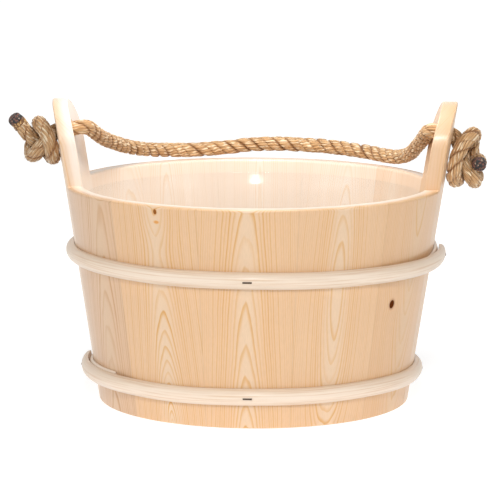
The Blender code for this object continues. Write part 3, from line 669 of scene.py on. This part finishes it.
def even_steps(curve, count):
    """The same line with its points spread evenly along it."""
    along = np.concatenate([[0], np.cumsum(np.linalg.norm(np.diff(curve, axis=0), axis=1))])
    wanted = np.linspace(0, along[-1], count)
    return np.stack([np.interp(wanted, along, curve[:, axis]) for axis in range(3)], axis=1)


def smooth_path(points, count):
    """A smooth curve through the points, read at even steps along it."""
    points = np.array(points, dtype=float)
    points = np.vstack([2 * points[0] - points[1], points, 2 * points[-1] - points[-2]])
    marks = np.concatenate([[0], np.cumsum(np.sqrt(np.linalg.norm(np.diff(points, axis=0), axis=1)))])
    curve = []
    for i in range(1, len(points) - 2):
        k0, k1, k2, k3 = marks[i - 1 : i + 3]
        for t in np.linspace(k1, k2, 24, endpoint=False):
            a1 = ((k1 - t) * points[i - 1] + (t - k0) * points[i]) / (k1 - k0)
            a2 = ((k2 - t) * points[i] + (t - k1) * points[i + 1]) / (k2 - k1)
            a3 = ((k3 - t) * points[i + 1] + (t - k2) * points[i + 2]) / (k3 - k2)
            b1 = ((k2 - t) * a1 + (t - k0) * a2) / (k2 - k0)
            b2 = ((k3 - t) * a2 + (t - k1) * a3) / (k3 - k1)
            curve.append(((k2 - t) * b1 + (t - k1) * b2) / (k2 - k1))
    curve.append(points[-2])
    return even_steps(np.array(curve), count)


def draw_together(guide, side, held):
    """Draws a loosely laid knot together until its strands lie a rope's width apart, clear of the ear."""
    start = smooth_path(guide, KNOT_POINTS)
    path = start.copy()
    apart = ROPE_DIAMETER + KNOT_STRAND_GAP
    number = np.arange(KNOT_POINTS)
    for turn in range(KNOT_ROUNDS):
        ease = KNOT_EASE * (1 - turn / KNOT_ROUNDS)
        length = np.linalg.norm(np.diff(path, axis=0), axis=1).sum()
        own_stretch = math.ceil(KNOT_OWN_LENGTH * apart / (length / (KNOT_POINTS - 1)))
        between = path[:, None] - path[None]
        distance = np.linalg.norm(between, axis=2) + 1e-9
        strangers = np.abs(number[:, None] - number[None]) > own_stretch
        short = np.where(strangers, np.maximum(apart - distance, 0), 0)
        path = path + KNOT_PUSH * (between / distance[..., None] * short[..., None]).sum(axis=1)
        path[1:-1] += ease * (path[:-2] + path[2:] - 2 * path[1:-1])
        radius = np.hypot(path[:, 0], path[:, 1])
        clear = (radius - outer_radius(HOLE_HEIGHT + path[:, 2])) / math.hypot(1, TAPER)
        sunk = np.maximum(ROPE_RADIUS + CAD_GAP - clear, 0)
        sunk[:held] = 0
        path[:, 0] += side * sunk
        path[:held] = start[:held]
        path[-1] = guide[-1]
        path[held:] = even_steps(path, KNOT_POINTS)[held:]
    near = 2 * held
    for _ in range(KNOT_EXIT_ROUNDS):
        path[1:near] += KNOT_EXIT_EASE * (path[: near - 1] + path[2 : near + 1] - 2 * path[1:near])
    return path


def natural_fibre(name, shade):
    """Three-strand sisal or manila: golden tan yarns with paler flecks and brown grooves, quite matt. The
    flecks are partly paler fibre and partly painted glints, and the brown of the grooves is painted shade. A
    shade under 1 makes the yarns darker."""
    material, add = empty_material(name)
    along = add("UVMap", {}, uv_map="strand")
    groove_shading = add("Attribute", {}, attribute_name="groove_shading").outputs["Fac"]

    # Sizes here are metres along the strand and yarns across it.
    fleck = stretched_noise(add, along, (0.007, 0.6, 1), 1.0)
    hair = stretched_noise(add, along, (0.012, 0.3, 1), 2.0)
    patch = stretched_noise(add, along, (0.014, 1.0, 1), 1.0)
    # Paler flecks along the yarns: partly paler fibre, partly painted glints.
    fleck_and_glint = add("MapRange", {0: fleck, 1: 0.50, 2: 0.64}, **SMOOTH)
    tan = add("Mix", {0: patch, 6: linear("#b6824c"), 7: linear("#e8bf8b")}, **RGBA).outputs[2]
    tan = add("Mix", {0: fleck_and_glint, 6: tan, 7: linear("#f9e2bd")}, **RGBA).outputs[2]
    thread = add("MapRange", {0: hair, 1: 0.3, 2: 0.7, 3: 0.72 * shade, 4: 1.15 * shade})
    tan = add("VectorMath", {0: tan, "Scale": thread}, operation="SCALE")
    # Painted shade: the yarns turn brown towards the grooves between strands and yarns, broken up by the
    # fibre.
    ragged = add("Math", {0: hair, 1: 0.8, 2: groove_shading}, operation="MULTIPLY_ADD")
    lit_crown = add("MapRange", {0: ragged, 1: 0.58, 2: 1.08}, **SMOOTH)
    colour = add("Mix", {0: lit_crown, 6: linear("#96683a"), 7: tan}, **RGBA).outputs[2]
    bump = add("Bump", {"Height": hair, "Strength": 0.8, "Distance": 0.0004})
    shader = {"Base Color": colour, "Roughness": 0.62, "Sheen Weight": 0.2, "Normal": bump}
    shader = add("BsdfPrincipled", shader)
    add("OutputMaterial", {"Surface": shader})
    return material


def laid_strands(name, path, first_turn, stray_fibres):
    """Three strands of nine yarns laid round the rope's line, and stray fibres, as one mesh with its UV map.

    Its columns of points follow the yarns.
    """
    # Two directions across the rope are carried along it without a twist.
    step = np.gradient(path, axis=0)
    ahead = step / np.linalg.norm(step, axis=1)[:, None]
    across = np.zeros_like(path)
    side = np.cross(ahead[0], (0.0, 0.0, 1.0))
    for i, direction in enumerate(ahead):
        side = side - direction * np.dot(side, direction)
        side /= np.linalg.norm(side)
        across[i] = side
    other = np.cross(ahead, across)
    along = np.concatenate([[0], np.cumsum(np.linalg.norm(np.diff(path, axis=0), axis=1))])

    # Three round strands fill the rope, a little full so that they press together.
    strand = 1.05 * ROPE_RADIUS / (1 + 2 / math.sqrt(3))
    count = len(path)
    sides = YARN_SIDES * YARNS
    column = np.arange(sides)
    after = (column + 1) % sides
    lobe = np.abs(np.sin(math.pi * column / YARN_SIDES)) ** 0.7
    chance = np.random.default_rng(7)
    angle = math.tau * (column[None] / sides - along[:, None] / YARN_LAY)
    verts, faces, uvs, groove_shading = [], [], [], []
    for third in range(3):
        # Each strand wanders a little round the line and swells, and its yarns are lumpy.
        turn = first_turn + math.tau * (along / ROPE_LAY + third / 3) + 0.25 * np.sin(along / 0.021 + third)
        turn += 0.12 * np.sin(along / 0.0062 + 2.3 * third)
        out = across * np.cos(turn)[:, None] + other * np.sin(turn)[:, None]
        turned = other * np.cos(turn)[:, None] - across * np.sin(turn)[:, None]
        swell = 1 + 0.05 * np.sin(along / 0.0083 + 2 * third) * np.sin(along / 0.019 + third)
        spacing = chance.uniform(0.002, 0.005, YARNS)
        offset = chance.uniform(0, math.tau, YARNS)
        lump = np.repeat(np.sin(along[:, None] / spacing + offset), YARN_SIDES, axis=1)
        radius = strand * swell[:, None] * (0.95 + (0.20 + 0.06 * lump) * lobe)
        ring = (
            (path + out * (ROPE_RADIUS - strand))[:, None]
            + (radius * np.cos(angle))[..., None] * out[:, None]
            + (1.38 * radius * np.sin(angle))[..., None] * turned[:, None]
        )
        base = len(verts)
        verts.extend(ring.reshape(-1, 3))
        # Painted shade for the grooves: 1 on the crown of each yarn and strand, less where they turn into the
        # grooves.
        groove_shading.extend(((0.38 + 0.62 * np.cos(angle)) * (0.3 + 0.7 * lobe)).ravel())
        for i in range(count - 1):
            near = base + i * sides
            far = near + sides
            faces.extend(zip(near + column, near + after, far + after, far + column))
            here, there = along[i : i + 2] + 0.9 * third
            for low in column / YARN_SIDES:
                high = low + 1 / YARN_SIDES
                uvs += [(here, low), (here, high), (there, high), (there, low)]
        for i, order in ((0, -1), (count - 1, 1)):
            faces.append(tuple(base + i * sides + column)[::order])
            uvs += [(along[i], 0.0)] * sides

    # Stray fibres spring from the surface at a slant, bend back to it and taper.
    for _ in range(stray_fibres):
        i = chance.integers(4, count - 4)
        around = chance.uniform(0, math.tau)
        out = across[i] * math.cos(around) + other[i] * math.sin(around)
        over = other[i] * math.cos(around) - across[i] * math.sin(around)
        way = ahead[i] * chance.choice((-1, 1)) + 0.5 * out + chance.uniform(-0.7, 0.7) * over
        way /= np.linalg.norm(way)
        length = chance.uniform(0.002, 0.0055)
        start = path[i] + out * ROPE_RADIUS * 0.93
        base = len(verts)
        for share, thick in ((0.0, 1.0), (0.5, 0.8), (1.0, 0.3)):
            middle = start + way * length * share - out * length * 0.22 * share * share
            for corner in range(3):
                turn = math.tau * corner / 3
                spoke = out * math.cos(turn) + np.cross(way, out) * math.sin(turn)
                verts.append(middle + FIBRE_RADIUS * thick * spoke)
                groove_shading.append(1.0)
        for low in (base, base + 3):
            for s in range(3):
                t = (s + 1) % 3
                faces.append((low + s, low + t, low + 3 + t, low + 3 + s))
                uvs += [(i * 0.01, around)] * 4
        faces += [(base, base + 2, base + 1), (base + 6, base + 7, base + 8)]
        uvs += [(i * 0.01, around)] * 6
    mesh = bpy.data.meshes.new(name)
    mesh.from_pydata(verts, [], faces)
    layer = mesh.uv_layers.new(name="strand")
    layer.data.foreach_set("uv", np.array(uvs, dtype=np.float32).ravel())
    groove_shading_values = mesh.attributes.new("groove_shading", "FLOAT", "POINT")
    groove_shading_values.data.foreach_set("value", np.array(groove_shading, dtype=np.float32))
    mesh.shade_smooth()
    rope = bpy.data.objects.new(name, mesh)
    scene.collection.objects.link(rope)
    return rope


# The rope of the left knot is darker than the rest.
fibre_rope = natural_fibre("laid_natural_fibre", 1.0)
darker_rope = natural_fibre("darker_natural_fibre", 0.76)
end = HOLE_MIDDLE - CAD_GAP / 2
inside = HOLE_MIDDLE - STAVE_THICKNESS / 4
span_path = smooth_path([(-end, 0, 0), (-inside, 0, 0), *SPAN_ROUTE, (inside, 0, 0), (end, 0, 0)], 600)
span_path[:, 2] += HOLE_HEIGHT
span = laid_strands("rope_span_strands", span_path, 0.0, 1000)
span.data.materials.append(fibre_rope)
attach(span, "handle")
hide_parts("rope_span")


def sealed_end(name):
    """Rope end dipped and scorched: black between its yarn ends, which show reddish brown with a few pale
    specks, and rope brown again a few millimetres back. The darker gaps between the yarns are partly scorch
    and partly painted shade on the end, and painted shade on the side."""
    material, add = empty_material(name)
    place = add("TexCoord", {}).outputs["Object"]
    scorch = add("Attribute", {}, attribute_name="scorch").outputs["Fac"]
    lump = add("TexNoise", {"Vector": place, "Scale": 1 / 0.0022, "Detail": 3.0})
    yarn = add("TexVoronoi", {"Vector": place, "Scale": 1 / 0.0019}, feature="F1")
    # Painted shade: darker in the gaps between the yarns, on the side and, with the black scorch, on the end.
    gap = add("MapRange", {0: yarn.outputs["Distance"], 1: 0.25, 2: 0.6}, **SMOOTH)
    pale = add("MapRange", {0: lump, 1: 0.58, 2: 0.70}, **SMOOTH)
    end = add("Mix", {0: gap, 6: linear("#6b4032"), 7: linear("#15100e")}, **RGBA).outputs[2]
    end = add("Mix", {0: pale, 6: end, 7: linear("#b79c84")}, **RGBA).outputs[2]
    side = add("Mix", {0: gap, 6: linear("#c39a62"), 7: linear("#6d4a2a")}, **RGBA).outputs[2]
    ragged = add("Math", {0: lump, 1: 1.2, 2: -0.6}, operation="MULTIPLY_ADD")
    ragged = add("Math", {0: scorch, 1: ragged}, operation="ADD")
    dark = add("MapRange", {0: ragged, 1: 0.35, 2: 0.65}, **SMOOTH)
    tone = add("Mix", {0: dark, 6: side, 7: end}, **RGBA).outputs[2]
    bump = add("Bump", {"Height": yarn.outputs["Distance"], "Strength": 0.8, "Distance": 0.0010})
    shader = add("BsdfPrincipled", {"Base Color": tone, "Roughness": 0.55, "Normal": bump})
    add("OutputMaterial", {"Surface": shader})
    return material


# Section of a sealed end, as its radius and its height above the end of the rope.
TIP_PROFILE = [
    (0, -0.003), (0.0046, -0.003), (0.0053, -0.0015), (0.0054, 0.0005), (0.0054, 0.0025), (0.0053, 0.0045),
    (0.0051, 0.0064), (0.0046, 0.0077), (0.0037, 0.0084), (0.0024, 0.0086), (0.0012, 0.0087), (0, 0.0087),
]
SCORCH_START = 0.001
SCORCH_LENGTH = 0.005

burnt = sealed_end("sealed_rope_end")
for word, side, guide, fibre in (
    ("left", -1, LEFT_KNOT, darker_rope),
    ("right", 1, RIGHT_KNOT, fibre_rope),
):
    straight = [HOLE_MIDDLE + past for past in (CAD_GAP / 2, STAVE_THICKNESS / 4, STAVE_THICKNESS / 2)]
    laid = [(side * out, 0, 0) for out in straight] + [(side * out, y, up) for out, y, up in guide]
    path = smooth_path(draw_together(laid, side, KNOT_HELD), 240)
    path[:, 2] += HOLE_HEIGHT
    rope = laid_strands(f"rope_knot_{word}_strands", path, 1.0, 400)
    rope.data.materials.append(fibre)
    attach(rope, "bucket")
    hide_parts(f"rope_knot_{word}")

    # The tip goes on where the rope ends. It keeps the three strands, and its yarn ends are ragged.
    heading = Vector(path[-1] - path[-13]).normalized()
    bm = turned_shell(TIP_PROFILE, 36)
    scorch = bm.verts.layers.float.new("scorch")
    for vert in bm.verts:
        around = math.atan2(vert.co.y, vert.co.x)
        strand = 1 + 0.07 * math.cos(3 * (around - math.tau * vert.co.z / ROPE_LAY))
        strand += 0.03 * math.sin(11 * around + 900 * vert.co.z)
        vert[scorch] = smooth_step((vert.co.z - SCORCH_START) / SCORCH_LENGTH)
        ragged = 0.0005 * math.sin(7 * around) * (strand - 0.9)
        vert.co = (vert.co.x * strand, vert.co.y * strand, vert.co.z + ragged)
    aim = Vector((0, 0, 1)).rotation_difference(heading).to_matrix().to_4x4()
    bmesh.ops.transform(bm, verts=bm.verts, matrix=Matrix.Translation(path[-1]) @ aim)
    tip = finish_piece(f"rope_tip_{word}_seal", bm, burnt, "bucket", [f"rope_tip_{word}"])


# Studio. A white floor that runs out into white surroundings, a small round lamp high in front, a broad soft
# one low at each side, and a small one over the mouth.
FLOOR_DROP = 0.0005  # keeps the floor clear of the foot
LAMP_TARGET = Vector((0, 0, 0.1))


def seen_directly(add):
    """1 where the eye looks, also by a mirror or through the liner, and 0 for light on its way to a piece."""
    rays = add("LightPath", {}).outputs
    seen = add("Math", {0: rays["Is Camera Ray"], 1: rays["Is Glossy Ray"]}, operation="MAXIMUM")
    return add("Math", {0: seen, 1: rays["Is Transmission Ray"]}, operation="MAXIMUM")


floor_mesh = bpy.data.meshes.new("studio_floor")
bm = bmesh.new()
bmesh.ops.create_grid(bm, x_segments=2, y_segments=2, size=6.0)
bm.to_mesh(floor_mesh)
bm.free()
floor = bpy.data.objects.new("studio_floor", floor_mesh)
scene.collection.objects.link(floor)
floor.location.z = -FLOOR_DROP

# To the eye the floor is white, with a soft shade under the bucket. To the pieces it is white and also
# glows with a cool light of its own, strongest round the foot: painted light that lifts the shade there.
white, add = empty_material("white_studio_floor")
place = add("TexCoord", {}).outputs["Object"]
reach = add("VectorMath", {0: place}, operation="LENGTH").outputs["Value"]
paint = add("BsdfDiffuse", {"Color": linear("#fafafa")})
near = add("MapRange", {0: reach, 1: 0.13, 2: 0.30, 3: 0.60, 4: 0.22}, **SMOOTH)
foot_glow = add("Emission", {"Color": linear("#e4efff"), "Strength": near})
paint = add("AddShader", {0: paint, 1: foot_glow})
shade = add("BsdfDiffuse", {"Color": linear("#a8a8a8")})
far = add("MapRange", {0: reach, 1: 0.2, 2: 0.6, 3: 0.85, 4: 1.0}, **SMOOTH)
glow = add("Emission", {"Color": linear("#ffffff"), "Strength": far})
shade = add("AddShader", {0: shade, 1: glow})
mixed = add("MixShader", {0: seen_directly(add), 1: paint, 2: shade})
add("OutputMaterial", {"Surface": mixed})
floor_mesh.materials.append(white)

# The surroundings are white to the eye and in every gloss, but light the pieces only faintly.
world = bpy.data.worlds.new("white_surroundings")
world.use_nodes = True
world.node_tree.nodes.clear()
add = partial(add_node, world.node_tree)
level = add("MapRange", {0: seen_directly(add), 3: 0.12, 4: 1.0})
sky = add("Background", {"Color": linear("#ffffff"), "Strength": level})
add("OutputWorld", {"Surface": sky})
scene.world = world

for name, place, size, power in (
    ("soft_front", (0.05, -2.4, 1.42), 0.28, 26.5),
    ("soft_mouth", (0.0, -0.03, 0.50), 0.16, 1.15),
    ("soft_left", (-1.5, -0.9, 0.75), 0.9, 9.2),
    ("soft_right", (1.5, -0.9, 0.75), 0.9, 8.8),
):
    lamp = bpy.data.lights.new(name, "AREA")
    lamp.shape = "DISK"
    lamp.size = size
    lamp.energy = power
    lamp_object = bpy.data.objects.new(name, lamp)
    lamp_object.location = place
    lamp_object.rotation_euler = (LAMP_TARGET - Vector(place)).to_track_quat("-Z", "Y").to_euler()
    scene.collection.objects.link(lamp_object)

# Camera: long lens, a little above the rim and just right of the front, as the photograph was taken.
CAMERA_PLACE = (0.0798, -2.2856, 0.4868)
CAMERA_AIM_RIGHT = -0.0362648758
CAMERA_AIM_DOWN = 0.16325
CAMERA_ROLL = 0.0045
camera_data = bpy.data.cameras.new("camera")
camera_data.lens = 224.75
camera_data.sensor_width = 36.0
camera_data.clip_end = 50.0
camera = bpy.data.objects.new("camera", camera_data)
flat = math.cos(CAMERA_AIM_DOWN)
right = math.sin(CAMERA_AIM_RIGHT)
ahead = Vector((flat * right, flat * math.cos(CAMERA_AIM_RIGHT), -math.sin(CAMERA_AIM_DOWN)))
facing = ahead.to_track_quat("-Z", "Y").to_matrix().to_4x4() @ Matrix.Rotation(CAMERA_ROLL, 4, "Z")
camera.matrix_world = Matrix.Translation(CAMERA_PLACE) @ facing
scene.collection.objects.link(camera)
scene.camera = camera
